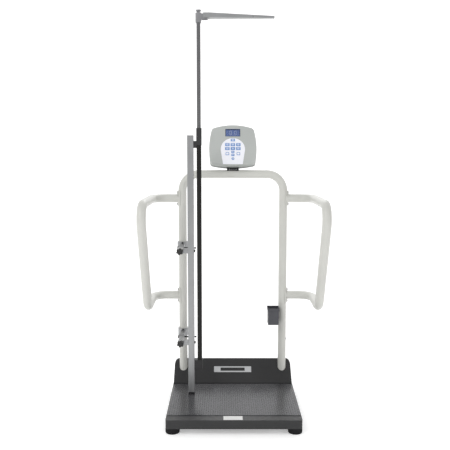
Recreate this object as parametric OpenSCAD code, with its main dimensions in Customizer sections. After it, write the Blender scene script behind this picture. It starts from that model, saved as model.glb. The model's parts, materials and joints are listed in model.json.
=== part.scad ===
// Digital physician scale with wide handrails and a telescoping height rod.
// Millimetres, +Z up, the front of the deck faces -Y, and the origin is on the floor
// under the middle of the object.

/* [Deck] */
// Width of the weighing deck
deck_w = 613; // [560:1:660]
// Depth of the weighing deck, housing included
deck_d = 585; // [560:1:610]
// Height of the tread above the floor
deck_z = 70; // [66:1:80]
// Height of the folded skirt
skirt_h = 41; // [38:1:45]
// Depth of the plain strip in front of the tread
strip_d = 52; // [40:1:60]

/* [Feet] */
// Diameter of a foot
foot_d = 64; // [55:1:70]
// Distance from the front and back of the deck to a foot's centre
foot_inset = 34; // [34:1:45]

/* [Rear housing] */
// Depth of the sloped housing
housing_d = 124; // [110:1:135]
// Height of the housing above the deck
housing_h = 95; // [85:1:110]

/* [Frame] */
// Outside diameter of the upright tube
tube_d = 41.3; // [36:0.1:46]
// Distance between the upright centres
post_gap = 516; // [480:1:530]
// Height of the crossbar's centre above the floor
bar_z = 1146; // [1100:1:1180]
// Centreline radius of the top bends
frame_bend = 85; // [70:1:110]

/* [Handrails] */
// Outside diameter of the rail tube
rail_d = 42; // [38:1:44]
// Distance from the centre plane to the rail's front bar
rail_x = 408; // [390:1:430]
// Height of the upper run above the floor
rail_top_z = 1023; // [1000:1:1040]
// Height of the lower run above the floor
rail_low_z = 519; // [500:1:560]
// How far the upper run reaches in front of the uprights
rail_top_reach = 525; // [480:1:540]
// How far the lower run reaches in front of the uprights
rail_low_reach = 281; // [250:1:300]
// Centreline radius of the rail bends
rail_bend = 70; // [60:1:80]

/* [Display head] */
// Width of the head
head_w = 242; // [220:1:250]
// Height of the head
head_h = 225; // [205:1:235]
// Backward tilt of the head's face
head_tilt = 25; // [10:1:35]

/* [Height rod] */
// Outside width of the fixed black tube
rod_w = 22; // [20:1:24]
// Outside width of the sliding tube
slider_w = 18; // [14:1:18]
// Length of the sliding tube
slider_l = 1110; // [1080:1:1120]
// Top of the sliding tube above the floor as set
slider_top = 1896; // [1870:1:1900]
// Length of the measuring arm from its pivot
arm_l = 326; // [300:1:340]

/* [Hidden] */
$fn = 48;
eps = 0.01;
fit = 0.05;              // radial clearance of what turns
loose = 0.3;             // gap round what slides by hand

hinge_y = 4;             // tilt axis behind the head's middle
hinge_drop = 2;          // tilt axis below the head
front_y = -36;           // head's front face
seam_y = -4;
rear_y = 22;
rear_step = 8;           // how much the head's back is smaller all round
post_inset = 46;         // uprights in front of the deck's rear edge
// The tilted head stands out behind the uprights by this much.
head_back = (rear_y - hinge_y) * cos(head_tilt) + (head_h - rear_step + hinge_drop) * sin(head_tilt);
y0 = -round((deck_d - post_inset + head_back) / 2);   // front edge of the deck

sheet = 2.5;             // deck cover's sheet
deck_r = 12;             // corners of the deck seen from above
tread_t = 2;             // tread plate
tread_side = 3;          // plain border beside the tread
cover_top = deck_z - tread_t;
skirt_z = cover_top - skirt_h;
post_x = post_gap / 2;
post_y = y0 + deck_d - post_inset;
tube_t = 2;
slope_y = y0 + deck_d - housing_d;
toe_h = 3;               // upright front edge of the housing
slope_run = housing_d - 10;
slope_rise = housing_h - toe_h;
slope_angle = atan2(slope_rise, slope_run);
shell_t = 3;

frame_w = 25;            // depth and height of the base frame's bars
side_bar_w = 16;
frame_top = cover_top - sheet;
frame_low = frame_top - frame_w;
cell_h = 13;
cell_low = frame_low - cell_h;
cell_l = 130;
stud_d = 10;
foot_h = skirt_z - 1;
foot_x = deck_w / 2 - 30;
foot_xs = [-foot_x, foot_x];
foot_front_y = y0 + foot_inset;
foot_rear_y = y0 + deck_d - foot_inset;

mast_x = -205;           // centre of the square mast
mast_w = 30;
mast_y = post_y - 206.5;
mast_low = deck_z + 4;
mast_top = deck_z + 1265;
rod_x = -164;
rod_y = mast_y;
rod_low = deck_z + 124;
rod_top = deck_z + 1279;
collar_low = deck_z + 1219;
collar_top = deck_z + 1300;
rod_bore = slider_w + 0.4;
bracket_low = deck_z + 1206;
bracket_h = 33;
low_bracket_h = 46;

block_h = 44;            // sliding head block
block_top = slider_top + 4;
pivot_x = rod_x + 28;
pivot_z = block_top - 16;
pin_d = 6;
arm_under = pivot_z - 8;
arm_root = 40;
arm_tip = 20;
arm_root_h = 23;
arm_tip_h = 9;
arm_spread = 24;         // pivot to where the arm widens

clamp_zs = [deck_z + 711, deck_z + 256];
clamp_h = 38;
clamp_od = tube_d + 13;
clamp_arm_w = 24;
clamp_bolt_y = (mast_y + post_y) / 2 - 5;

hinge_z = bar_z + tube_d / 2 + 7.5;   // the head's tilt axis
knuckle_w = 35.4;
knuckle_d = 12;
neck_w = 60;
cable_hole_d = 10;       // lead from the crossbar into the head's saddle
crown_r = 290;           // bulge of the head's top edge
base_r = 450;            // bulge of its bottom edge
side_r = 430;            // bulge of its sides
waist_z = 94;            // height of the head's widest part
corner_r = 18;
wall = 3;
key_out = 1.4;           // key above the overlay
overlay_t = 0.8;
board_y = -16;
window = [77, 43];
window_z = 181;
lens_t = 2;
pad_r = 62;              // arch at the top of the key field
pad_z = 88;

// Each key: name, x, z, width, height. A height of 0 makes a round key.
KEYS = [
    ["key_units", 0, 139, 21, 14],
    ["key_hold", -28, 113, 22, 16],
    ["key_index", 0, 113, 22, 16],
    ["key_recall", 28, 113, 22, 16],
    ["key_tare", -28, 91, 22, 16],
    ["key_zero", 0, 91, 22, 16],
    ["key_print", 28, 91, 22, 16],
    ["key_up", 0, 72, 15, 12],
    ["key_down", 0, 55, 15, 12],
    ["key_clear", -28, 62, 17, 15],
    ["key_enter", 28, 62, 17, 15],
    ["key_power", 0, 35, 14, 0]
];

// ---- helpers -------------------------------------------------------------

module rounded_rect(w, d, r) {
    square([w, d - 2 * r], center = true);
    square([w - 2 * r, d], center = true);
    for (x = [-1, 1], y = [-1, 1])
        translate([x * (w / 2 - r), y * (d / 2 - r)]) circle(r);
}

module ring(od, id, h) {
    difference() {
        cylinder(d = od, h = h);
        translate([0, 0, -1]) cylinder(d = id, h = h + 2);
    }
}

// A box given by its lowest and highest corners.
module span(lo, hi) {
    translate(lo) cube(hi - lo);
}

// Extrudes a drawing of the XZ plane from y to y + t.
module face_plate(y, t) {
    translate([0, y + t, 0]) rotate([90, 0, 0]) linear_extrude(t) children();
}

// Turns a child built along +Z to run along +X, +Y or -Y.
module to_x() { rotate([0, 90, 0]) children(); }
module to_y() { rotate([-90, 0, 0]) children(); }
module to_minus_y() { rotate([90, 0, 0]) children(); }

function unit(v) = v / norm(v);
function turn(u, v) = acos(u * v);
function run_dir(path, i) = unit(path[i + 1] - path[i]);
function set_back(path, i, r) =
    (i == 0 || i == len(path) - 1) ? 0
    : r * tan(turn(run_dir(path, i - 1), run_dir(path, i)) / 2);

module basis(x, y, z, o) {
    multmatrix([[x[0], y[0], z[0], o[0]], [x[1], y[1], z[1], o[1]],
                [x[2], y[2], z[2], o[2]], [0, 0, 0, 1]])
        children();
}

module tube_profile(d, t) {
    difference() {
        circle(d = d);
        circle(d = d - 2 * t);
    }
}

// A round tube along a path of corners, each corner bent to the radius r.
module bent_tube(path, r, d, t) {
    for (i = [0:len(path) - 2]) {
        u = run_dir(path, i);
        side = unit(cross(u, abs(u[2]) > 0.9 ? [1, 0, 0] : [0, 0, 1]));
        a = path[i] + u * set_back(path, i, r);
        b = path[i + 1] - u * set_back(path, i + 1, r);
        basis(side, cross(u, side), u, a) linear_extrude(norm(b - a)) tube_profile(d, t);
    }
    for (i = [1:len(path) - 2]) {
        u = run_dir(path, i - 1);
        v = run_dir(path, i);
        n = unit(v - u * (v * u));
        start = path[i] - u * set_back(path, i, r);
        basis(-n, u, cross(-n, u), start + n * r)
            rotate_extrude(angle = turn(u, v)) translate([r, 0]) tube_profile(d, t);
    }
}

module at_post(side) { translate([side * post_x, post_y, 0]) children(); }

// ---- base ----------------------------------------------------------------

module platform_cover() {
    color([0.23, 0.23, 0.24])
    translate([0, y0 + deck_d / 2, skirt_z]) difference() {
        linear_extrude(skirt_h) rounded_rect(deck_w, deck_d, deck_r);
        translate([0, 0, -1]) linear_extrude(skirt_h - sheet + 1)
            rounded_rect(deck_w - 2 * sheet, deck_d - 2 * sheet, deck_r - sheet);
        for (s = [-1, 1]) translate([s * post_x, post_y - y0 - deck_d / 2, 0])
            cylinder(d = tube_d + 10, h = skirt_h + 1);
    }
}

module tread_plate() {
    color([0.42, 0.42, 0.44])
    span([-deck_w / 2 + tread_side, y0 + strip_d, cover_top],
         [deck_w / 2 - tread_side, slope_y - 1, deck_z]);
}

module front_label() {
    color("white") span([-47, y0 + 5, cover_top], [39, y0 + strip_d - 5, cover_top + 0.4]);
}

module base_frame() {
    x1 = deck_w / 2 - sheet - 6;
    ya = y0 + sheet + 6;
    yb = y0 + deck_d - sheet - 6;
    socket_x = post_x - socket_od / 2 - 3;
    rear_bar = slope_y + 20;
    color("dimgray") {
        for (s = [-1, 1]) span([s * (x1 - side_bar_w / 2) - side_bar_w / 2, ya, frame_low],
                               [s * (x1 - side_bar_w / 2) + side_bar_w / 2, yb, frame_top]);
        for (y = [ya, y0 + deck_d / 2, rear_bar])
            span([-x1 + 1, y, frame_low], [x1 - 1, y + frame_w, frame_top]);
        span([-socket_x, post_y - frame_w / 2, frame_low], [socket_x, post_y + frame_w / 2, frame_top]);
        for (s = [-1, 1]) span([s * (socket_x - 15) - 12, rear_bar + 1, frame_low],
                               [s * (socket_x - 15) + 12, post_y, frame_top]);
    }
}

module load_cell() {
    difference() {
        translate([-15, -15, 0]) cube([cell_l, 30, cell_h - 1]);
        for (x = [cell_l * 0.32, cell_l * 0.44]) translate([x, 0, -1]) cylinder(d = 20, h = cell_h + 2);
        translate([cell_l * 0.32, -6, -1]) cube([cell_l * 0.12, 12, cell_h + 2]);
        translate([0, 0, -1]) cylinder(d = stud_d + 2 * fit, h = cell_h + 2);
    }
    translate([cell_l - 35, -15, cell_h - 1]) cube([20, 30, 1]);
}

module load_cells() {
    color("silver")
    for (s = [-1, 1], y = [foot_front_y, foot_rear_y])
        translate([s * foot_x, y, cell_low]) rotate([0, 0, s < 0 ? 0 : 180])
            load_cell();
}

module foot(x, y) {
    lip = 2;
    color("black") translate([x, y, 0]) {
        rotate_extrude() union() {
            square([foot_d / 2 - lip, foot_h]);
            translate([0, lip]) square([foot_d / 2, foot_h - lip]);
            translate([foot_d / 2 - lip, lip]) circle(lip);
        }
        translate([0, 0, foot_h - eps]) cylinder(d = stud_d, h = cell_low + cell_h - 1.5 - foot_h);
    }
}

// The wedge's outline seen from the side, shrunk by t.
module housing_side(t) {
    under = t > 0 ? cover_top - 1 : cover_top;
    polygon([[slope_y + t * 2, under],
             [slope_y + t * 2, deck_z + toe_h - t * 0.6],
             [slope_y + slope_run + t * 0.3, deck_z + toe_h + slope_rise - t],
             [y0 + deck_d - t, deck_z + toe_h + slope_rise - t],
             [y0 + deck_d - t, under]]);
}

module housing_solid(t) {
    top_r = 23;
    w = deck_w - 3 - 2 * t;
    intersection() {
        translate([-w / 2, 0, 0]) rotate([90, 0, 90]) linear_extrude(w) housing_side(t);
        translate([0, y0 + deck_d + 1, 0]) rotate([90, 0, 0]) linear_extrude(deck_d) {
            translate([-w / 2, 0]) square([w, deck_z + housing_h - top_r - t]);
            translate([-w / 2 + top_r, 0]) square([w - 2 * top_r, deck_z + housing_h - t]);
            for (s = [-1, 1]) translate([s * (w / 2 - top_r), deck_z + housing_h - top_r - t])
                circle(top_r);
        }
    }
}

screw_u = 0.93;          // housing screws: place up the slope, and from the centre plane
screw_x = 277;
module rear_housing() {
    color([0.2, 0.2, 0.21]) difference() {
        housing_solid(0);
        housing_solid(shell_t);
        for (s = [-1, 1]) at_post(s) cylinder(d = tube_d + 0.6, h = 400);
        on_slope(screw_u) for (x = [-screw_x, screw_x]) translate([x, 0, -10]) cylinder(d = 4.2, h = 12);
    }
}

// Places a flat child on the slope: u from 0 at the foot of the slope to 1 at its top.
module on_slope(u) {
    translate([0, slope_y + slope_run * u, deck_z + toe_h + slope_rise * u])
        rotate([slope_angle, 0, 0]) children();
}

module name_plate() {
    color("gainsboro") on_slope(0.55) linear_extrude(0.8) rounded_rect(195, 35, 2);
}

module housing_screws() {
    color("silver") on_slope(screw_u) for (x = [-screw_x, screw_x]) translate([x, 0, eps]) {
        cylinder(d = 7, h = 1.6);
        translate([0, 0, -6]) cylinder(d = 4, h = 6 + eps);
    }
}

socket_od = tube_d + 4;
module post_sockets() {
    color("gray") for (s = [-1, 1]) at_post(s) {
        translate([0, 0, frame_low]) ring(socket_od, tube_d + 2 * fit, 58);
        difference() {
            translate([-42, -24, cover_top]) cube([84, 48, 5]);
            translate([0, 0, cover_top - 1]) cylinder(d = tube_d + 2 * fit, h = 8);
            for (x = [-34, 34], y = [-15, 15])
                translate([x, y, cover_top - 1]) cylinder(d = 8.4, h = 8);
        }
    }
}

// A small screw in the right upright's outer side, seated in a flat.
module post_screw() {
    at_post(1) translate([tube_d / 2 - 0.6, 0, deck_z + 215]) to_x() cylinder(d = 9, h = 4);
}

module socket_bolts() {
    color("silver") for (s = [-1, 1]) {
        at_post(s) for (x = [-34, 34], y = [-15, 15]) translate([x, y, cover_top + 5]) {
            cylinder(d = 13, h = 5, $fn = 6);
            translate([0, 0, -5 + eps]) cylinder(d = 8, h = 5);
        }
    }
    color("silver") post_screw();
}

module summing_board() {
    color("green") span([-70, y0 + deck_d - 60, cover_top], [70, y0 + deck_d - 12, cover_top + 3]);
    color("black")
        span([-40, y0 + deck_d - 50, cover_top + 3 - eps], [-10, y0 + deck_d - 20, cover_top + 15]);
}

// ---- frame and handrails ---------------------------------------------------

module frame_tube() {
    low = frame_low;
    color([0.9, 0.9, 0.87]) difference() {
        bent_tube([[-post_x, post_y, low], [-post_x, post_y, bar_z], [post_x, post_y, bar_z],
                   [post_x, post_y, low]], frame_bend, tube_d, tube_t);
        translate([0, post_y, bar_z]) cylinder(d = cable_hole_d, h = tube_d);
        post_screw();
    }
}

saddle_t = 4;
saddle_h = 75;
rail_bore = rail_d - 2 * tube_t;

// A straight piece of rail tube; the children go on from its far end.
module rail_run(l) {
    linear_extrude(l) tube_profile(rail_d, tube_t);
    translate([0, 0, l]) children();
}

// A bend towards +X; the children go on from its far end.
module rail_turn(a) {
    translate([rail_bend, 0, 0]) rotate([90, 0, 180]) rotate_extrude(angle = a)
        translate([rail_bend, 0]) tube_profile(rail_d, tube_t);
    translate([rail_bend, 0, 0]) rotate([0, a, 0]) translate([-rail_bend, 0, 0]) children();
}

rail_fall = rail_top_z - rail_low_z;
rail_back = rail_top_reach - rail_low_reach;
rail_lean = atan2(rail_back, rail_fall);
rail_gap = 0.01;         // hairline left at each end of the leaning bar

function bend_reach(a) = rail_bend * tan(a / 2);

// Half of the loop: out from the upright, forward, and up (way -1) or down (way 1) by a.
module rail_half(z, reach, a, way) {
    translate([post_x + 12, post_y, z]) rotate([-90, 0, 0]) rotate([0, 90, 0])
        rail_run(rail_x - post_x - 12 - rail_bend) rail_turn(90)
            rail_run(reach - rail_bend - bend_reach(a)) rotate([0, 0, way * 90]) rail_turn(a);
}

// The front bar, which leans forward from the lower run to the upper one.
module rail_grip() {
    high = bend_reach(90 + rail_lean) + rail_gap;
    low = bend_reach(90 - rail_lean) + rail_gap;
    translate([rail_x, post_y - rail_top_reach, rail_top_z]) rotate([180 + rail_lean, 0, 0])
        translate([0, 0, high]) rail_run(norm([rail_fall, rail_back]) - high - low);
}

module rail() {
    color([0.9, 0.9, 0.87]) difference() {
        union() {
            rail_half(rail_top_z, rail_top_reach, 90 + rail_lean, 1);
            rail_half(rail_low_z, rail_low_reach, 90 - rail_lean, -1);
            rail_grip();
            for (z = [rail_top_z, rail_low_z]) at_post(1) translate([0, 0, z - saddle_h / 2])
                rotate([0, 0, -62]) rotate_extrude(angle = 124)
                    translate([tube_d / 2, 0]) square([saddle_t, saddle_h]);
        }
        at_post(1) cylinder(d = tube_d + 2 * fit, h = 1200);
        for (z = [rail_top_z, rail_low_z]) at_post(1) translate([0, 0, z]) to_x()
            cylinder(d = rail_bore - 8, h = 40);
        for (z = [rail_top_z, rail_low_z], dz = [-30, 30]) at_post(1) translate([0, 0, z + dz])
            to_x() cylinder(d = 6.4, h = 40);
    }
}

module rail_screws() {
    color("silver") for (s = [-1, 1], z = [rail_top_z, rail_low_z], dz = [-30, 30])
        at_post(s) translate([0, 0, z + dz]) rotate([0, s * 90, 0])
            translate([0, 0, tube_d / 2 + 0.2]) {
                cylinder(d = 6, h = saddle_t);
                translate([0, 0, saddle_t - eps]) cylinder(d = 11, h = 3);
            }
}

// ---- pocket on the right upright ---------------------------------------------

pocket_w = 60;
pocket_l = 70;
pocket_h = 86;
pocket_x = post_x - tube_d / 2 - pocket_w;
pocket_y = post_y - 15.5 - pocket_l;
pocket_z = deck_z + 309;
module pocket() {
    t = 2;
    color([0.28, 0.28, 0.3]) translate([pocket_x, pocket_y, pocket_z]) difference() {
        union() {
            span([3, 3, 0], [pocket_w - 3, pocket_l, pocket_h - 14]);
            span([0, 0, pocket_h - 14], [pocket_w, pocket_l, pocket_h]);
        }
        span([3 + t, 3 + t, t], [pocket_w - 3 - t, pocket_l - t, pocket_h + 1]);
        span([t, t, pocket_h - 12], [pocket_w - t, pocket_l - t, pocket_h + 1]);
        for (z = [22, 56]) translate([pocket_w - 10, pocket_l - 3, z]) to_y() cylinder(d = 4.2, h = 5);
    }
}

// Two small brackets behind the pocket that fit the upright's left side.
bracket_t = 12;
module pocket_brackets() {
    back = pocket_y + pocket_l;
    side = post_x - tube_d / 2;
    color([0.15, 0.15, 0.16]) for (z = [16, 50]) translate([0, 0, pocket_z + z]) {
        difference() {
            span([side - 17, back, 0], [side + 3, post_y + 12, bracket_t]);
            at_post(1) translate([0, 0, -1]) cylinder(d = tube_d + 2 * fit, h = bracket_t + 2);
        }
        translate([pocket_x + pocket_w - 10, back + 1, bracket_t / 2]) to_minus_y() {
            cylinder(d = 4, h = 3.5);
            translate([0, 0, 3]) cylinder(d = 8, h = 2);
        }
    }
}

// ---- display head ------------------------------------------------------------

module at_hinge() { translate([0, post_y, hinge_z]) children(); }
module tilted() { at_hinge() rotate([-head_tilt, 0, 0]) children(); }
module at_head() { tilted() translate([0, -hinge_y, hinge_drop]) children(); }

module big_circle(x, z, r) { translate([x, z]) circle(r, $fn = 200); }

module head_outline(grow) {
    offset(delta = grow) offset(r = corner_r) offset(delta = -corner_r) intersection() {
        big_circle(head_w / 2 - side_r, waist_z, side_r);
        big_circle(side_r - head_w / 2, waist_z, side_r);
        big_circle(0, head_h - crown_r, crown_r);
        big_circle(0, base_r, base_r);
    }
}

module key_shape(k, grow) {
    translate([k[1], k[2]])
        if (k[4] == 0) circle(d = k[3] + 2 * grow);
        else rounded_rect(k[3] + 2 * grow, k[4] + 2 * grow, 2);
}

module pad_shape(grow) {
    offset(r = grow) hull() {
        translate([0, pad_z]) circle(pad_r, $fn = 72);
        translate([-50, 5]) square([100, 4]);
    }
}

module head_front_shell() {
    color([0.78, 0.8, 0.79]) at_head() difference() {
        face_plate(front_y, seam_y - front_y) head_outline(0);
        face_plate(front_y + wall, seam_y - front_y) head_outline(-wall);
        face_plate(front_y - 1, wall + 2) translate([0, window_z]) square(window, center = true);
        face_plate(front_y - eps, overlay_t + eps) pad_shape(0.2);
        face_plate(front_y - 1, wall + 2) for (k = KEYS) key_shape(k, loose);
        yoke_slot();
    }
}

door_w = 96;
door_h = 62;
door_z = 96;
door_t = 2.5;
module head_rear_shell() {
    color([0.72, 0.74, 0.73]) at_head() difference() {
        union() {
            face_plate(seam_y, 18) head_outline(0);
            face_plate(seam_y + 18 - eps, rear_y - seam_y - 18) head_outline(-rear_step);
        }
        face_plate(seam_y - 1, 16) head_outline(-wall);
        face_plate(seam_y + 14, rear_y - seam_y - 14 - wall) head_outline(-rear_step - wall);
        span([-door_w / 2, rear_y - wall - 1, door_z - door_h / 2],
             [door_w / 2, rear_y + 1, door_z + door_h / 2]);
        for (x = [-1, 1], z = [40, 188]) translate([x * 78, rear_y - wall - 1, z]) to_y()
            cylinder(d = 4.4, h = wall + 2);
        yoke_slot();
    }
}

module screen_lens() {
    color([0.25, 0.3, 0.55, 0.6]) at_head() face_plate(front_y + 0.8, lens_t)
        translate([0, window_z]) square(window - [0.4, 0.4], center = true);
}

module lcd_panel() {
    color([0.3, 0.36, 0.5]) at_head() face_plate(front_y + wall + 0.2, 6)
        translate([0, window_z]) square(window + [10, 6], center = true);
}

module keypad_overlay() {
    color("white") at_head() face_plate(front_y, overlay_t) difference() {
        pad_shape(0);
        for (k = KEYS) key_shape(k, loose);
    }
}

module key(k) {
    color([0.55, 0.65, 0.85]) at_head() {
        face_plate(front_y - key_out, key_out + wall + 0.6) key_shape(k, 0);
        face_plate(front_y + wall + 0.5, 1.2) key_shape(k, 0.8);
        translate([k[1], front_y + wall + 1.6, k[2]]) to_y() cylinder(d = 5, h = 12);
    }
}

module circuit_board() {
    color("green") at_head() {
        face_plate(board_y, 1.6) translate([-66, 24]) square([132, 130]);
        for (k = KEYS) translate([k[1], board_y + eps, k[2]]) to_minus_y() cylinder(d = 6, h = 1);
    }
}

module battery_door() {
    color([0.7, 0.72, 0.71]) at_head() {
        span([-door_w / 2 + loose, rear_y - door_t, door_z - door_h / 2 + loose],
             [door_w / 2 - loose, rear_y, door_z + door_h / 2 - loose]);
        for (z = [0:4])
            span([-14, rear_y - eps, door_z - 20 + z * 4], [14, rear_y + 0.8, door_z - 18.6 + z * 4]);
    }
}

module battery_cells() {
    color("orange") at_head() for (i = [-1.5:1.5]) translate([-25, rear_y - wall - 9, door_z + i * 14.8]) {
        to_x() cylinder(d = 14.4, h = 49);
        translate([49 - eps, 0, 0]) to_x() cylinder(d = 5.5, h = 1.4);
    }
}

module head_screws() {
    color("silver") at_head() for (x = [-1, 1], z = [40, 188]) translate([x * 78, 0, z]) {
        translate([0, rear_y + eps, 0]) to_minus_y() cylinder(d = 4, h = 20);
        translate([0, rear_y, 0]) to_y() cylinder(d = 8, h = 2);
    }
}

module display_saddle() {
    lug_w = (neck_w - knuckle_w - 1.2) / 2;
    color([0.1, 0.1, 0.1]) translate([0, post_y, 0]) difference() {
        union() {
            span([-neck_w / 2, -13, bar_z + 10], [neck_w / 2, 13, hinge_z - knuckle_d / 2 - 0.5]);
            for (x = [-neck_w / 2, neck_w / 2 - lug_w]) {
                span([x, -5, bar_z + 14], [x + lug_w, 5, hinge_z]);
                translate([x, 0, hinge_z]) to_x() cylinder(d = knuckle_d, h = lug_w);
            }
        }
        translate([-40, 0, bar_z]) to_x() cylinder(d = tube_d + 2 * fit, h = 80);
        translate([-40, 0, hinge_z]) to_x() cylinder(d = pin_d, h = 80);
    }
}

module tilt_pin() {
    color("silver") at_hinge() translate([-neck_w / 2, 0, 0]) to_x() cylinder(d = pin_d, h = neck_w);
}

module tilt_yoke() {
    color([0.1, 0.1, 0.1]) tilted() difference() {
        union() {
            translate([-knuckle_w / 2, 0, 0]) to_x() cylinder(d = knuckle_d, h = knuckle_w);
            span([-knuckle_w / 2, -5, 0], [knuckle_w / 2, 5, 9]);
            span([-46, -12, 8.5], [46, 6, 12]);
            for (x = [-45, 35]) span([x, -12, hinge_drop + wall + 3.2], [x + 10, 6, 9]);
        }
        translate([-60, 0, 0]) to_x() cylinder(d = pin_d + 2 * fit, h = 120);
    }
}

// The slot in the head's underside for the hinge.
module yoke_slot() {
    slot_w = neck_w + 2;
    translate([-slot_w / 2, hinge_y, -hinge_drop]) to_x() cylinder(d = knuckle_d + 3, h = slot_w);
    span([-slot_w / 2, hinge_y - 7.5, -4], [slot_w / 2, hinge_y + 7.5, 2]);
}

// ---- height rod ---------------------------------------------------------------

module square_tube(w, l, t, z1, z2) {
    translate([0, 0, z1]) linear_extrude(z2 - z1) difference() {
        rounded_rect(w, l, 1.5);
        square([w - 2 * t, l - 2 * t], center = true);
    }
}

module mast_hole(z, d) {
    translate([mast_x - mast_w, mast_y, z]) to_x() cylinder(d = d, h = 2 * mast_w);
}

module mast() {
    color("silver") difference() {
        translate([mast_x, mast_y, 0]) square_tube(mast_w, mast_w, 2, mast_low + 4, mast_top - 2);
        for (z = clamp_zs) mast_hole(z, 8.2);
    }
}

module mast_caps() {
    color([0.15, 0.15, 0.15]) for (end = [[mast_low, 4, 12, 1], [mast_top - 2, 2, 12, -1]])
        translate([mast_x, mast_y, end[0]]) {
            linear_extrude(end[1]) rounded_rect(mast_w, mast_w, 1.5);
            translate([0, 0, end[3] > 0 ? end[1] - eps : -end[2]]) linear_extrude(end[2])
                square(mast_w - 4.2, center = true);
        }
}

module rod_tube() {
    color([0.12, 0.12, 0.12]) translate([rod_x, rod_y, 0])
        square_tube(rod_w, rod_w, (rod_w - rod_bore) / 2, rod_low + 4, rod_top);
}

module rod_collar() {
    color([0.2, 0.2, 0.2]) translate([rod_x, rod_y, 0]) difference() {
        translate([0, 0, collar_low]) linear_extrude(collar_top - collar_low)
            rounded_rect(rod_w + 3, rod_w + 3, 2);
        translate([0, 0, collar_low - 1]) linear_extrude(rod_top - collar_low + 1)
            square(rod_w + 0.1, center = true);
        translate([0, 0, rod_top - 1]) linear_extrude(collar_top - rod_top + 2)
            square(rod_bore, center = true);
    }
}

module rod_brackets() {
    gap_x = mast_x + mast_w / 2;
    tube_x = rod_x - rod_w / 2;
    color([0.12, 0.12, 0.12]) {
        difference() {
            span([gap_x, rod_y - 15, rod_low], [rod_x + rod_w / 2 + 3, rod_y + 15, rod_low + low_bracket_h]);
            translate([rod_x, rod_y, rod_low + 4]) linear_extrude(60) square(rod_w + 0.1, center = true);
        }
        span([gap_x, rod_y - 11, bracket_low], [tube_x - 1.5, rod_y + 11, bracket_low + bracket_h]);
        span([tube_x - 2, rod_y - 9, bracket_low], [tube_x, rod_y + 9, collar_low - 0.5]);
    }
}

module rod_slider() {
    color("darkgray") translate([rod_x, rod_y, 0])
        square_tube(slider_w, slider_w, 1.5, slider_top - slider_l, slider_top);
}

module head_block() {
    color("gray") translate([rod_x, rod_y, block_top - block_h]) difference() {
        union() {
            linear_extrude(block_h) rounded_rect(27, 27, 6);
            for (y = [-13, 9]) span([8, y, 14], [43, y + 4, block_h - 4]);
            span([8, -13, 14], [18, 13, block_h - 4]);
        }
        translate([0, 0, -1]) linear_extrude(slider_top - block_top + block_h + 1)
            square(slider_w + 0.1, center = true);
        translate([pivot_x - rod_x, -20, pivot_z - block_top + block_h]) to_y()
            cylinder(d = pin_d, h = 40);
    }
}

module slider_cap() {
    color("gray") translate([rod_x, rod_y, block_top]) {
        cylinder(d = 13, h = 9);
        translate([0, 0, 8]) cylinder(d = 25, h = 6);
    }
}

module arm_pin() {
    color("silver") translate([pivot_x, rod_y - 15, pivot_z]) to_y() {
        cylinder(d = pin_d, h = 30);
        translate([0, 0, -2]) cylinder(d = 10, h = 2 + eps);
    }
}

arm_t = 1.6;
module head_arm() {
    wide_x = pivot_x + arm_spread;
    root_x = pivot_x - 6;
    tip_x = pivot_x + arm_l;
    color("silver") difference() {
        union() {
            translate([0, rod_y, arm_under]) linear_extrude(arm_t)
                polygon([[wide_x, -arm_root / 2], [tip_x, -arm_tip / 2],
                         [tip_x, arm_tip / 2], [wide_x, arm_root / 2]]);
            intersection() {
                union() for (s = [-1, 1]) arm_edge(s, root_x, wide_x, tip_x);
                translate([0, rod_y + arm_root, arm_under]) rotate([90, 0, 0])
                    linear_extrude(2 * arm_root)
                        polygon([[root_x, 0], [tip_x, 0], [tip_x, arm_tip_h],
                                 [wide_x, arm_root_h], [root_x, arm_root_h]]);
            }
            span([root_x, rod_y - 8, arm_under], [wide_x + 34, rod_y + 8, arm_under + 15]);
        }
        translate([pivot_x, rod_y - 30, pivot_z]) to_y() cylinder(d = pin_d + 2 * fit, h = 60);
    }
}

// One upturned edge of the arm seen from above: straight past the pivot, then in to the tip.
module arm_edge(s, root_x, wide_x, tip_x) {
    translate([0, rod_y, arm_under]) linear_extrude(arm_root_h)
        polygon([[root_x, s * arm_root / 2], [wide_x, s * arm_root / 2], [tip_x, s * arm_tip / 2],
                 [tip_x, s * (arm_tip / 2 - arm_t)], [wide_x, s * (arm_root / 2 - arm_t)],
                 [root_x, s * (arm_root / 2 - arm_t)]]);
}

// ---- clamps that hold the mast to the left upright -------------------------------

// Two screws in the front of a clamp's ring, seated in flats.
module ring_screws(z) {
    for (dz = [-14.5, 14.5]) translate([-post_x, post_y - clamp_od / 2 + 1, z + dz]) to_minus_y()
        cylinder(d = 8, h = 5);
}

module clamp_arm(z) {
    front = mast_y - mast_w / 2;
    left = -post_x - clamp_arm_w / 2;
    difference() {
        union() {
            at_post(-1) translate([0, 0, z - clamp_h / 2]) cylinder(d = clamp_od, h = clamp_h);
            span([left, front + 6, z - 10], [left + clamp_arm_w, post_y - 10, z + 10]);
            span([left, front + 2, z - 11], [mast_x - mast_w / 2, front + mast_w - 2, z + 11]);
            translate([left - 2, clamp_bolt_y, z]) to_x() cylinder(d = 32, h = clamp_arm_w + 4);
        }
        ring_screws(z);
        at_post(-1) translate([0, 0, z - clamp_h]) cylinder(d = tube_d + 2 * fit, h = 2 * clamp_h);
        translate([left - 5, clamp_bolt_y, z]) to_x() cylinder(d = 8, h = 40);
        translate([-post_x, front + 20, z]) to_minus_y() cylinder(d = 8 + 2 * fit, h = 30);
        translate([-post_x - clamp_od, post_y - 1, z - clamp_h]) cube([clamp_od - 10, 2, 2 * clamp_h]);
    }
}

module clamp_arms() {
    color("silver") for (z = clamp_zs) clamp_arm(z);
}

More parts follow.
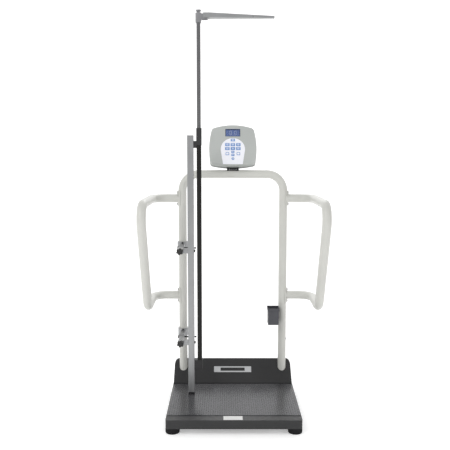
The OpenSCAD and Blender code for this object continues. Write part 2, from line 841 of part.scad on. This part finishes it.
// The cross bolt halfway along each arm, the split clamp's screws and the bolt through the mast.
module clamp_bolts() {
    left = -post_x - clamp_arm_w / 2 - 2;
    right = mast_x + mast_w / 2;
    color([0.12, 0.12, 0.12]) for (z = clamp_zs) {
        translate([left - 6, clamp_bolt_y, z]) to_x() cylinder(d = 16, h = 6);
        translate([left - 1, clamp_bolt_y, z]) to_x() cylinder(d = 8, h = right + 6 - left);
        ring_screws(z);
        translate([right, mast_y, z]) to_x() cylinder(d = 13, h = 6, $fn = 6);
        translate([right - mast_w, mast_y, z]) to_x() cylinder(d = 8, h = mast_w + eps);
    }
}

module knob(z) {
    face = mast_y - mast_w / 2 + 2;
    stud = 14;
    lobes = 6;
    color([0.08, 0.08, 0.08]) translate([-post_x, face, z]) to_minus_y() {
        translate([0, 0, -stud]) cylinder(d = 8, h = stud + 1);
        translate([0, 0, 0.3]) cylinder(d = 17, h = 5);
        translate([0, 0, 5]) cylinder(d = 26, h = 16);
        for (i = [0:lobes - 1]) rotate([0, 0, 20 + i * 360 / lobes]) translate([12, 0, 6])
            cylinder(d = 10, h = 14);
    }
}

// ---- nodes ---------------------------------------------------------------------------

platform_cover();
tread_plate();
front_label();
base_frame();
load_cells();
foot(foot_xs[0], foot_front_y);  // foot_front_left
foot(foot_xs[1], foot_front_y);  // foot_front_right
foot(foot_xs[0], foot_rear_y);  // foot_rear_left
foot(foot_xs[1], foot_rear_y);  // foot_rear_right
rear_housing();
name_plate();
housing_screws();
post_sockets();
socket_bolts();
summing_board();
frame_tube();
mirror([1, 0, 0]) rail();  // left_rail
rail();  // right_rail
rail_screws();
pocket();
pocket_brackets();
display_saddle();
tilt_pin();
tilt_yoke();
head_front_shell();
head_rear_shell();
screen_lens();
lcd_panel();
keypad_overlay();
circuit_board();
battery_door();
battery_cells();
head_screws();
mast();
mast_caps();
rod_tube();
rod_collar();
rod_brackets();
rod_slider();
head_block();
slider_cap();
arm_pin();
head_arm();
clamp_arms();
clamp_bolts();
knob(clamp_zs[0]);  // upper_knob
knob(clamp_zs[1]);  // lower_knob
for (k = KEYS) key(k);
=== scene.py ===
import json
import math

import bpy
from mathutils import Matrix, Vector


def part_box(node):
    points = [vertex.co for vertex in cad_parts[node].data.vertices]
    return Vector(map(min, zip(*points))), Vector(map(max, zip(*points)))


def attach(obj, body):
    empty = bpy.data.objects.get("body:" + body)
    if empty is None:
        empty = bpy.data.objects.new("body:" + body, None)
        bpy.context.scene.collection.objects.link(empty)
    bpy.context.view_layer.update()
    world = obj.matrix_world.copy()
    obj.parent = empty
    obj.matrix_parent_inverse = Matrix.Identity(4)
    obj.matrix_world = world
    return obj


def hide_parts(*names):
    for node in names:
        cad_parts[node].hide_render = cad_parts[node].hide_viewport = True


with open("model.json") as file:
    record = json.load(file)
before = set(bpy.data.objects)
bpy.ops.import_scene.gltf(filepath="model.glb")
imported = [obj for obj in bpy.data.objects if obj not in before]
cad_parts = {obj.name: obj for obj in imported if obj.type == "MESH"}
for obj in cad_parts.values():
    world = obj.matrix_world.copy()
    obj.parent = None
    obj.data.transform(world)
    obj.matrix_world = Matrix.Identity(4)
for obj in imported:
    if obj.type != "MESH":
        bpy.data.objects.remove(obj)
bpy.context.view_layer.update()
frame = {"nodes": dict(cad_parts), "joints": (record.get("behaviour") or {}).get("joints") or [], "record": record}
nodes = frame["nodes"]
joints = {j["name"]: j for j in frame["joints"]}
MM = 0.001

# ---- camera ------------------------------------------------------------------------


def add_camera():
    data = bpy.data.cameras.new("camera")
    data.lens = 51.2
    data.sensor_width = 36
    camera = bpy.data.objects.new("camera", data)
    camera.location = (-0.040, -3.0620, 1.241)
    camera.rotation_euler = (math.radians(83.79), 0, 0)
    bpy.context.collection.objects.link(camera)
    bpy.context.scene.camera = camera


add_camera()

# ---- materials ---------------------------------------------------------------------


def noise(tree, scale, detail=4, stretch=(1, 1, 1)):
    """A noise texture in the object's own metres, drawn out along an axis by stretch."""
    where = tree.nodes.new("ShaderNodeTexCoord")
    mapping = tree.nodes.new("ShaderNodeMapping")
    mapping.inputs["Scale"].default_value = stretch
    texture = tree.nodes.new("ShaderNodeTexNoise")
    texture.inputs["Scale"].default_value = scale
    texture.inputs["Detail"].default_value = detail
    tree.links.new(where.outputs["Object"], mapping.inputs["Vector"])
    tree.links.new(mapping.outputs["Vector"], texture.inputs["Vector"])
    return texture.outputs["Fac"]


def spread(tree, value, low, high):
    """Maps the middle of a noise to the range from low to high."""
    node = tree.nodes.new("ShaderNodeMapRange")
    node.inputs["From Min"].default_value = 0.3
    node.inputs["From Max"].default_value = 0.7
    node.inputs["To Min"].default_value = low
    node.inputs["To Max"].default_value = high
    tree.links.new(value, node.inputs["Value"])
    return node.outputs["Result"]


def finish(name, colour, rough, metal=0.0, grain=900, bump=0.1, depth=0.0002, shade=0.08,
           stretch=(1, 1, 1), wear=0.12, **sockets):
    """A surface with a fine grain in its bump, and slow changes in its colour and roughness."""
    material = bpy.data.materials.new(name)
    material.use_nodes = True
    tree = material.node_tree
    shader = tree.nodes["Principled BSDF"]
    slow = noise(tree, 9, 5)
    ramp = tree.nodes.new("ShaderNodeValToRGB")
    ramp.color_ramp.elements[0].position = 0.3
    ramp.color_ramp.elements[1].position = 0.7
    ramp.color_ramp.elements[0].color = [c * (1 - shade) for c in colour] + [1]
    ramp.color_ramp.elements[1].color = [min(1, c * (1 + shade)) for c in colour] + [1]
    tree.links.new(slow, ramp.inputs["Fac"])
    tree.links.new(ramp.outputs["Color"], shader.inputs["Base Color"])
    mottle = noise(tree, 60, 6, stretch)
    low, high = rough * (1 - wear), min(1, rough * (1 + wear))
    tree.links.new(spread(tree, mottle, low, high), shader.inputs["Roughness"])
    relief = tree.nodes.new("ShaderNodeBump")
    relief.inputs["Strength"].default_value = bump
    relief.inputs["Distance"].default_value = depth
    tree.links.new(noise(tree, grain, 3, stretch), relief.inputs["Height"])
    tree.links.new(relief.outputs["Normal"], shader.inputs["Normal"])
    shader.inputs["Metallic"].default_value = metal
    for socket, value in sockets.items():
        shader.inputs[socket.replace("_", " ")].default_value = value
    return material


ALONG_Z = (1, 1, 0.02)
ALONG_X = (0.02, 1, 1)
MATERIALS = {
    "housing_black": finish("housing_black", (0.022, 0.022, 0.023), 0.42, grain=1400, bump=0.35,
                            Specular_IOR_Level=0.38),
    "tread": finish("tread", (0.060, 0.060, 0.065), 0.24, metal=0.45, grain=700, bump=0.12, shade=0.14),
    "label_white": finish("label_white", (0.66, 0.66, 0.65), 0.45, shade=0.03),
    # panel_white takes a faint white emission: painted light, a glow on the white panel and on the marks made of
    # it, which give off no light of their own.
    "panel_white": finish("panel_white", (0.82, 0.83, 0.88), 0.42, shade=0.02,
                          Emission_Color=(0.9, 0.9, 1, 1), Emission_Strength=0.1),
    "steel_dark": finish("steel_dark", (0.05, 0.05, 0.05), 0.5),
    "aluminium": finish("aluminium", (0.34, 0.345, 0.35), 0.36, metal=0.75, grain=700, bump=0.12,
                        stretch=ALONG_Z, wear=0.25),
    "foot_rubber": finish("foot_rubber", (0.010, 0.010, 0.011), 0.72, bump=0.4, Specular_IOR_Level=0.2),
    "plate_silver": finish("plate_silver", (0.55, 0.56, 0.57), 0.38, metal=0.6, stretch=ALONG_X),
    "fastener": finish("fastener", (0.42, 0.42, 0.43), 0.33, metal=1.0, wear=0.3),
    "board_green": finish("board_green", (0.03, 0.18, 0.06), 0.4),
    "frame_white": finish("frame_white", (0.585, 0.585, 0.55), 0.40, grain=500, bump=0.12,
                          shade=0.025, Coat_Weight=0.15, Coat_Roughness=0.3),
    "pocket_grey": finish("pocket_grey", (0.065, 0.066, 0.076), 0.5, bump=0.3),
    "trim_black": finish("trim_black", (0.018, 0.018, 0.019), 0.5, grain=1600, bump=0.45),
    "rod_black": finish("rod_black", (0.010, 0.0095, 0.009), 0.42, stretch=ALONG_Z, bump=0.15,
                        Specular_IOR_Level=0.25),
    "slider_metal": finish("slider_metal", (0.16, 0.16, 0.165), 0.36, metal=0.7, stretch=ALONG_Z,
                           wear=0.3),
    "head_grey_metal": finish("head_grey_metal", (0.26, 0.26, 0.27), 0.42, metal=0.5),
    "knob_black": finish("knob_black", (0.014, 0.014, 0.014), 0.4, bump=0.3),
    "shell_grey": finish("shell_grey", (0.47, 0.49, 0.475), 0.48, grain=1800, bump=0.25, shade=0.03),
    "shell_rear": finish("shell_rear", (0.25, 0.265, 0.255), 0.5, grain=1800, bump=0.3, shade=0.04),
    "lens": finish("lens", (0.10, 0.14, 0.30), 0.08, bump=0.02, Alpha=0.22),
    "lcd_blue": finish("lcd_blue", (0.09, 0.14, 0.32), 0.3, bump=0.03,
                       Emission_Color=(0.16, 0.22, 0.42, 1), Emission_Strength=0.35),
    "key_blue": finish("key_blue", (0.17, 0.31, 0.62), 0.42, bump=0.12, shade=0.05),
    "cell_wrap": finish("cell_wrap", (0.6, 0.3, 0.08), 0.35),
}


def dress_cad():
    """Every CAD node takes its slot's material."""
    for part in frame["record"]["subparts"]:
        node = nodes[part["node"]]
        node.data.materials.clear()
        node.data.materials.append(MATERIALS[part["material_slot"]])


SOFT_EDGES = {
    "platform_cover": 1.6, "rear_housing": 1.5, "mast": 0.8, "rod_tube": 0.8, "rod_slider": 0.7,
    "rod_collar": 1.0, "rod_brackets": 1.2, "head_block": 1.0, "clamp_arms": 1.5, "pocket": 0.9,
    "slider_cap": 1.2, "name_plate": 0.3, "display_saddle": 1.0, "mast_caps": 0.6, "tilt_yoke": 0.6,
}


def soften_edges():
    for name, width in SOFT_EDGES.items():
        bevel = nodes[name].modifiers.new("soft_edges", "BEVEL")
        bevel.width = width * MM
        bevel.segments = 2
        bevel.limit_method = "ANGLE"
        bevel.angle_limit = math.radians(40)
        bevel.harden_normals = False


dress_cad()
soften_edges()

# ---- mesh helpers --------------------------------------------------------------------


def add_piece(name, points, faces, slot, body, place=Matrix.Identity(4), smooth=True):
    mesh = bpy.data.meshes.new(name)
    mesh.from_pydata([place @ Vector(p) for p in points], [], faces)
    mesh.validate()
    mesh.materials.append(MATERIALS[slot])
    if smooth:
        mesh.shade_smooth()
        mesh.set_sharp_from_angle(angle=math.radians(35))
    piece = bpy.data.objects.new(name, mesh)
    bpy.context.collection.objects.link(piece)
    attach(piece, body)
    return piece


def loft(rings, close_start=True, close_end=True):
    """Points and faces of a skin through rings that have the same number of points."""
    count = len(rings[0])
    points = [p for ring in rings for p in ring]
    faces = []
    for r in range(len(rings) - 1):
        for i in range(count):
            j = (i + 1) % count
            faces.append((r * count + i, r * count + j, (r + 1) * count + j, (r + 1) * count + i))
    if close_start:
        faces.append(tuple(reversed(range(count))))
    if close_end:
        faces.append(tuple((len(rings) - 1) * count + i for i in range(count)))
    return points, faces


def join(solids):
    """One list of points and faces from several."""
    points, faces = [], []
    for some_points, some_faces in solids:
        start = len(points)
        points += some_points
        faces += [tuple(start + i for i in face) for face in some_faces]
    return points, faces


def quarter(steps):
    """Pairs (along, in) of a quarter round, from its start at (0, 1) to its end at (1, 0)."""
    angles = [math.pi / 2 * i / steps for i in range(steps + 1)]
    return [(1 - math.cos(a), 1 - math.sin(a)) for a in angles]


def rounded_rect(w, h, r, steps=5, x=0.0, z=0.0):
    """The outline of a rounded rectangle, in the plane of X and Z."""
    outline = []
    for k, (sx, sz) in enumerate([(1, 1), (-1, 1), (-1, -1), (1, -1)]):
        for i in range(steps + 1):
            a = math.pi / 2 * (k + i / steps)
            outline.append((x + sx * (w / 2 - r) + r * math.cos(a), z + sz * (h / 2 - r) + r * math.sin(a)))
    return outline


def plate(outline, y_front, y_back):
    """A flat plate from an outline in the plane of X and Z."""
    return loft([[(x, y_back, z) for x, z in outline], [(x, y_front, z) for x, z in outline]])


# ---- display head ------------------------------------------------------------------------

# The head's own frame: X across, Z up its face, the face at FRONT_Y and tilted back.
TILT = math.radians(25)
HINGE_Y, HINGE_DROP = 4 * MM, 2 * MM
HEAD_W, HEAD_H = 242 * MM, 225 * MM
CROWN_R, BASE_R, SIDE_R = 290 * MM, 450 * MM, 430 * MM
WAIST_Z, CORNER_R = 94 * MM, 18 * MM
FRONT_Y, SEAM_Y, REAR_Y = -36 * MM, -4 * MM, 22 * MM
SEAM_INSET, SEAM_LIP = 1.0 * MM, 0.8 * MM
HINGE = Vector(joints["display_tilt"]["pos_m"])
HEAD = (Matrix.Translation(HINGE) @ Matrix.Rotation(-TILT, 4, "X")
        @ Matrix.Translation((0, -HINGE_Y, HINGE_DROP)))


def meet(a, ra, b, rb, side):
    """Where two circles cross, on the side where X has the sign of side."""
    d = (b - a).length
    along = (d * d + ra * ra - rb * rb) / (2 * d)
    out = math.sqrt(ra * ra - along * along)
    u = (b - a) / d
    across = Vector((-u.y, u.x))
    found = [a + u * along + across * out, a + u * along - across * out]
    return max(found, key=lambda p: p.x * side)


def head_outline(inset, arc_steps=14, corner_steps=8):
    """The head's barrel outline: four arcs with rounded corners, anticlockwise from the right."""
    right = (Vector((HEAD_W / 2 - SIDE_R, WAIST_Z)), SIDE_R)
    top = (Vector((0, HEAD_H - CROWN_R)), CROWN_R)
    left = (Vector((SIDE_R - HEAD_W / 2, WAIST_Z)), SIDE_R)
    base = (Vector((0, BASE_R)), BASE_R)
    arcs = [right, top, left, base]
    corners = []
    for (a, ra), (b, rb), side in [(right, top, 1), (left, top, -1), (left, base, -1), (right, base, 1)]:
        corners.append(meet(a, ra - CORNER_R, b, rb - CORNER_R, side))
    outline = []
    for k, (centre, radius) in enumerate(arcs):
        first, last = corners[k - 1] - centre, corners[k] - centre
        a0 = math.atan2(first.y, first.x)
        a1 = math.atan2(last.y, last.x)
        a1 += 2 * math.pi if a1 < a0 else 0
        for i in range(arc_steps):
            a = a0 + (a1 - a0) * i / arc_steps
            outline.append(centre + Vector((math.cos(a), math.sin(a))) * (radius - inset))
        following = corners[k] - arcs[(k + 1) % 4][0]
        b1 = math.atan2(following.y, following.x)
        b1 += 2 * math.pi if b1 < a1 - math.pi else 0
        b1 += 2 * math.pi if b1 < a1 - 0.01 else 0
        for i in range(corner_steps):
            a = a1 + (b1 - a1) * i / corner_steps
            outline.append(corners[k] + Vector((math.cos(a), math.sin(a))) * (CORNER_R - inset))
    return outline


def head_ring(y, inset):
    return [(p.x, y, p.y) for p in head_outline(inset)]


def pad_outline(grow):
    """The keypad panel's outline: an arch on a narrower straight foot."""
    radius, middle = 62 * MM + grow, 88 * MM
    foot, low = 50 * MM + grow, 5 * MM - grow
    arch = [(radius * math.cos(a), middle + radius * math.sin(a))
            for a in [math.radians(-8 + 196 * i / 48) for i in range(49)]]
    return arch + [(-foot, low), (foot, low)]


def cut(piece, outlines):
    """Cuts pockets of the given outlines into a piece: each is (outline, front y, back y)."""
    for outline, y_front, y_back in outlines:
        points, faces = plate(outline, y_front, y_back)
        mesh = bpy.data.meshes.new("cutter")
        mesh.from_pydata([HEAD @ Vector(p) for p in points], [], faces)
        cutter = bpy.data.objects.new("cutter", mesh)
        bpy.context.collection.objects.link(cutter)
        modifier = piece.modifiers.new("pocket", "BOOLEAN")
        modifier.object = cutter
        modifier.operation = "DIFFERENCE"
        modifier.solver = "EXACT"
        bpy.context.view_layer.update()
        result = bpy.data.meshes.new_from_object(piece.evaluated_get(bpy.context.evaluated_depsgraph_get()))
        piece.modifiers.clear()
        piece.data = result
        bpy.data.objects.remove(cutter)
    piece.data.shade_smooth()
    piece.data.set_sharp_from_angle(angle=math.radians(35))


WINDOW_W, WINDOW_H, WINDOW_Z = 77 * MM, 43 * MM, 181 * MM
# The plane between the screen's border, in front of it, and its figures, behind it.
PRINT_Y = FRONT_Y + 3.1 * MM
PRINT_DEPTH = 0.2 * MM


def hinge_slot():
    """The opening in the underside that clears the saddle's lugs, as a box across both shells."""
    half, low, high = 31 * MM, -6 * MM, 5.6 * MM
    return [(-half, low), (half, low), (half, high), (-half, high)]


def head_front():
    edge = 3.5 * MM
    rings = [head_ring(SEAM_Y, SEAM_INSET), head_ring(SEAM_Y - SEAM_LIP, 0)]
    rings += [head_ring(FRONT_Y + edge * back, edge * inward) for inward, back in quarter(8)]
    piece = add_piece("head_front", *loft(rings), "shell_grey", "display", HEAD)
    window = rounded_rect(WINDOW_W, WINDOW_H, 1.2 * MM, z=WINDOW_Z)
    cut(piece, [(pad_outline(0.3 * MM), FRONT_Y - 2 * MM, FRONT_Y + 8 * MM),
                (window, FRONT_Y - 2 * MM, FRONT_Y + 9 * MM),
                (hinge_slot(), SEAM_Y - 1.5 * MM, SEAM_Y + 2 * MM)])
    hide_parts("head_front_shell")


def head_rear():
    edge = 4 * MM
    shoulder = 15 * MM
    rings = [head_ring(SEAM_Y, SEAM_INSET), head_ring(SEAM_Y + SEAM_LIP, 0)]
    rings += [head_ring(shoulder - edge + edge * math.sin(a), edge * (1 - math.cos(a)))
              for a in [math.pi / 2 * i / 8 for i in range(9)]]
    rings += [head_ring(REAR_Y - 6 * MM, 7.5 * MM), head_ring(REAR_Y - 1.5 * MM, 8.5 * MM),
              head_ring(REAR_Y, 10 * MM)]
    points, faces = loft([list(reversed(r)) for r in rings])
    piece = add_piece("head_rear", points, faces, "shell_rear", "display", HEAD)
    door = rounded_rect(96.6 * MM, 62.6 * MM, 1 * MM, z=96 * MM)
    cut(piece, [(door, REAR_Y - 3 * MM, REAR_Y + 2 * MM),
                (hinge_slot(), SEAM_Y - 2 * MM, HINGE_Y + 7.6 * MM)])
    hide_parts("head_rear_shell")


def screen_digits():
    """A generic reading of 0.0 in seven-segment figures."""
    long, thick = 11 * MM, 1.5 * MM
    segments = []
    for x in (-11 * MM, 13 * MM):
        segments += [(x, WINDOW_Z + dz, long * 0.62, thick) for dz in (-long, long)]
        segments += [(x + dx, WINDOW_Z + dz, thick, long * 0.8)
                     for dx in (-long * 0.4, long * 0.4) for dz in (-long / 2, long / 2)]
    segments.append((1 * MM, WINDOW_Z - long, thick * 1.2, thick * 1.2))
    solids = [plate(rounded_rect(w, h, min(w, h) * 0.45, 2, x, z), PRINT_Y, PRINT_Y + PRINT_DEPTH)
              for x, z, w, h in segments]
    add_piece("screen_digits", *join(solids), "panel_white", "display", HEAD)


def screen_bezel():
    """A dark border inside the window, wider along its top."""
    outer = rounded_rect(WINDOW_W - 0.5 * MM, WINDOW_H - 0.5 * MM, 1 * MM, z=WINDOW_Z)
    inner = rounded_rect(WINDOW_W - 7 * MM, WINDOW_H - 8 * MM, 1 * MM, z=WINDOW_Z - 1 * MM)
    points, faces = hoop(outer, inner, PRINT_Y - PRINT_DEPTH, PRINT_Y)
    add_piece("screen_bezel", points, faces, "rod_black", "display", HEAD, smooth=False)


KEY_MARKS = {
    "key_units": ("bar", 0, 139), "key_hold": ("bar", -28, 113), "key_index": ("bar", 0, 113),
    "key_recall": ("bar", 28, 113), "key_tare": ("bar", -28, 91), "key_zero": ("ring", 0, 91),
    "key_print": ("bar", 28, 91), "key_up": ("up", 0, 72), "key_down": ("down", 0, 55),
    "key_clear": ("patch", -28, 62), "key_enter": ("patch", 28, 62), "key_power": ("ring", 0, 35),
}


def hoop(outer, inner, y_front, y_back):
    """A flat hoop between two outlines that have the same number of points."""
    rings = [[(x, y, z) for x, z in outline] for outline, y in [
        (inner, y_front), (inner, y_back), (outer, y_back), (outer, y_front), (inner, y_front)]]
    return loft(rings, False, False)


def key_mark(kind, x, z):
    y = FRONT_Y - 1.4 * MM
    front = y - 0.25 * MM
    if kind == "bar":
        rows = [(2.8, 14), (-2.6, 10)]
        return join([plate(rounded_rect(w * MM, 2.4 * MM, 1.0 * MM, 3, x, z + dz * MM), front, y)
                     for dz, w in rows])
    if kind == "ring":
        return hoop(rounded_rect(8 * MM, 8 * MM, 3.99 * MM, 6, x, z),
                    rounded_rect(5 * MM, 5 * MM, 2.49 * MM, 6, x, z), front, y)
    if kind == "patch":
        return plate(rounded_rect(12 * MM, 10 * MM, 2 * MM, 5, x, z), front, y)
    way = 1 if kind == "up" else -1
    arrow = [(x - 4 * MM, z - way * 2.5 * MM), (x + 4 * MM, z - way * 2.5 * MM), (x, z + way * 3 * MM)]
    return plate(arrow if way > 0 else arrow[::-1], front, y)


def key_marks():
    for name, (kind, x, z) in KEY_MARKS.items():
        points, faces = key_mark(kind, x * MM, z * MM)
        # The marks are print in panel_white, and its faint emission paints a glow on them.
        add_piece(name + "_mark", points, faces, "panel_white", name + "_body", HEAD, smooth=False)


head_front()
head_rear()
screen_bezel()
screen_digits()
key_marks()

# ---- tread -----------------------------------------------------------------------------------


def tread_lug(x, y, z, angle, length, width, height):
    """One raised lens of the tread, with a rounded top."""
    c, s = math.cos(angle), math.sin(angle)
    rings = []
    for share, rise in [(1.0, 0.0), (0.82, 0.62), (0.45, 0.95)]:
        ring = []
        for i in range(10):
            a = 2 * math.pi * i / 10
            u = math.cos(a) * length / 2 * (share * 0.5 + 0.5)
            v = math.sin(a) * width / 2 * share
            ring.append((x + u * c - v * s, y + u * s + v * c, z + rise * height))
        rings.append(ring)
    return loft(rings, close_start=False)


def tread_pattern():
    """Lenses that stand by turns one way and the other, over the whole tread plate."""
    low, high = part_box("tread_plate")
    pitch, border, sink = 10.5 * MM, 4 * MM, 0.05 * MM
    length, width, height = 9.5 * MM, 3.4 * MM, 0.55 * MM
    columns = int((high.x - low.x - 2 * border) / pitch)
    rows = int((high.y - low.y - 2 * border) / pitch)
    x0 = (low.x + high.x - (columns - 1) * pitch) / 2
    y0 = (low.y + high.y - (rows - 1) * pitch) / 2
    lugs = []
    for i in range(columns):
        for j in range(rows):
            angle = math.radians(45 if (i + j) % 2 else -45)
            lugs.append(tread_lug(x0 + i * pitch, y0 + j * pitch, high.z - sink, angle,
                                  length, width, height))
    add_piece("tread_pattern", *join(lugs), "tread", "stand")


tread_pattern()


# ---- small trim on the stand ------------------------------------------------------------------


def name_strip():
    """The dark printed band on the housing's plate, with no lettering."""
    low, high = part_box("name_plate")
    slope = math.atan2(high.z - low.z, high.y - low.y)
    place = (Matrix.Translation((low + high) / 2) @ Matrix.Rotation(slope - math.pi / 2, 4, "X"))
    band = rounded_rect(127 * MM, 19 * MM, 1.5 * MM)
    solids = [plate(band, -0.75 * MM, -0.3 * MM)]
    add_piece("name_strip", *join(solids), "housing_black", "stand", place)


def rod_scale(name, node, body, z_low, z_high):
    """Printed graduations down the front of a square rod, longer at every fifth and tenth."""
    low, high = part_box(node)
    y = low.y - 0.12 * MM
    x = (low.x + high.x) / 2
    step, line = 10 * MM, 0.7 * MM
    ticks = []
    for i in range(int((z_high - z_low) / step)):
        w = (7 if i % 10 == 0 else 5 if i % 5 == 0 else 3) * MM
        z = z_low + i * step
        left = x - 4 * MM
        outline = [(left, z), (left + w, z), (left + w, z + line), (left, z + line)]
        ticks.append(plate(outline, y, low.y + 0.05 * MM))
    add_piece(name, *join(ticks), "rod_black", body, smooth=False)


def foot_ribs():
    """Ribs round each rubber foot, for a grip when it is screwed in or out."""
    count, half, z_low, z_high = 40, 0.018, 7 * MM, 19 * MM
    for foot in ["foot_front_left", "foot_front_right", "foot_rear_left", "foot_rear_right"]:
        low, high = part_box(foot)
        cx, cy = (low.x + high.x) / 2, (low.y + high.y) / 2
        radius = (high.x - low.x) / 2
        ribs = []
        for i in range(count):
            a = 2 * math.pi * i / count
            ring = [(cx + (radius + out) * math.cos(a + da), cy + (radius + out) * math.sin(a + da))
                    for out, da in [(-0.4 * MM, -half), (0.5 * MM, -half * 0.5), (0.5 * MM, half * 0.5),
                                    (-0.4 * MM, half)]]
            ribs.append(loft([[(x, y, z) for x, y in ring] for z in (z_low, z_high)]))
        add_piece(foot + "_ribs", *join(ribs), "foot_rubber", foot + "_body", smooth=False)


def weld(name, x, y, z, radius):
    """A small weld bead round a rail tube where it meets its saddle."""
    count, sides, bead = 40, 8, 1.6 * MM
    rings = []
    for i in range(count + 1):
        a = 2 * math.pi * i / count
        swell = bead * (1 + 0.12 * math.sin(7 * a))
        ring = []
        for k in range(sides):
            b = 2 * math.pi * k / sides
            r = radius + swell * math.cos(b)
            ring.append((x + swell * math.sin(b), y + r * math.cos(a), z + r * math.sin(a)))
        rings.append(ring)
    add_piece(name, *loft(rings, False, False), "frame_white", "stand")


name_strip()
slider_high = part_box("rod_slider")[1]
scale_low, scale_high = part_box("rod_collar")[1].z + 12 * MM, slider_high.z - 60 * MM
rod_scale("slider_scale", "rod_slider", "slider", scale_low, scale_high)
foot_ribs()
rail_radius, saddle_edge = 21 * MM, 4.4 * MM
low_rail_z = 519 * MM
post_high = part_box("frame_tube")[1]
post_y = (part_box("post_sockets")[0].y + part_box("post_sockets")[1].y) / 2
rail_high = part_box("right_rail")[1]
for side, label in [(-1, "left"), (1, "right")]:
    for height, level in [(rail_high.z - rail_radius, "upper"), (low_rail_z, "lower")]:
        weld(f"weld_{label}_{level}", side * (post_high.x + saddle_edge), post_y, height, rail_radius)

# ---- studio ---------------------------------------------------------------------------------------


def studio():
    size, rise = 9, 5
    back, bend = 2.6, 1.2
    points, faces = [], []
    profile = [(-size, 0), (back, 0)]
    profile += [(back + bend * math.sin(a), bend - bend * math.cos(a))
                for a in [math.pi / 2 * i / 12 for i in range(1, 13)]] + [(back + bend, rise)]
    for y, z in profile:
        points += [(-size, y, z), (size, y, z)]
    for i in range(len(profile) - 1):
        faces.append((2 * i, 2 * i + 1, 2 * i + 3, 2 * i + 2))
    mesh = bpy.data.meshes.new("floor")
    mesh.from_pydata(points, [], faces)
    mesh.shade_smooth()
    mesh.materials.append(finish("studio_white", (0.9, 0.9, 0.9), 0.9, shade=0.0, bump=0.0,
                                 Emission_Color=(1, 1, 1, 1), Emission_Strength=0.36))
    floor = bpy.data.objects.new("floor", mesh)
    bpy.context.collection.objects.link(floor)


def area_light(name, place, aim, size, power):
    data = bpy.data.lights.new(name, "AREA")
    data.shape = "SQUARE"
    data.size = size
    data.energy = power
    light = bpy.data.objects.new(name, data)
    light.location = place
    light.rotation_euler = (Vector(aim) - Vector(place)).to_track_quat("-Z", "Y").to_euler()
    bpy.context.collection.objects.link(light)


def lights():
    world = bpy.data.worlds.new("studio")
    world.use_nodes = True
    world.node_tree.nodes["Background"].inputs["Color"].default_value = (1, 1, 1, 1)
    world.node_tree.nodes["Background"].inputs["Strength"].default_value = 0.72
    bpy.context.scene.world = world
    area_light("key", (-2.2, -2.6, 3.2), (0, 0, 0.9), 2.0, 42)
    area_light("fill", (2.6, -2.2, 2.2), (0, 0, 0.8), 2.4, 5)
    area_light("rear", (0.3, 2.2, 2.9), (0, 0.1, 0.9), 2.0, 20)


studio()
lights()
bpy.context.scene.view_settings.view_transform = "Standard"
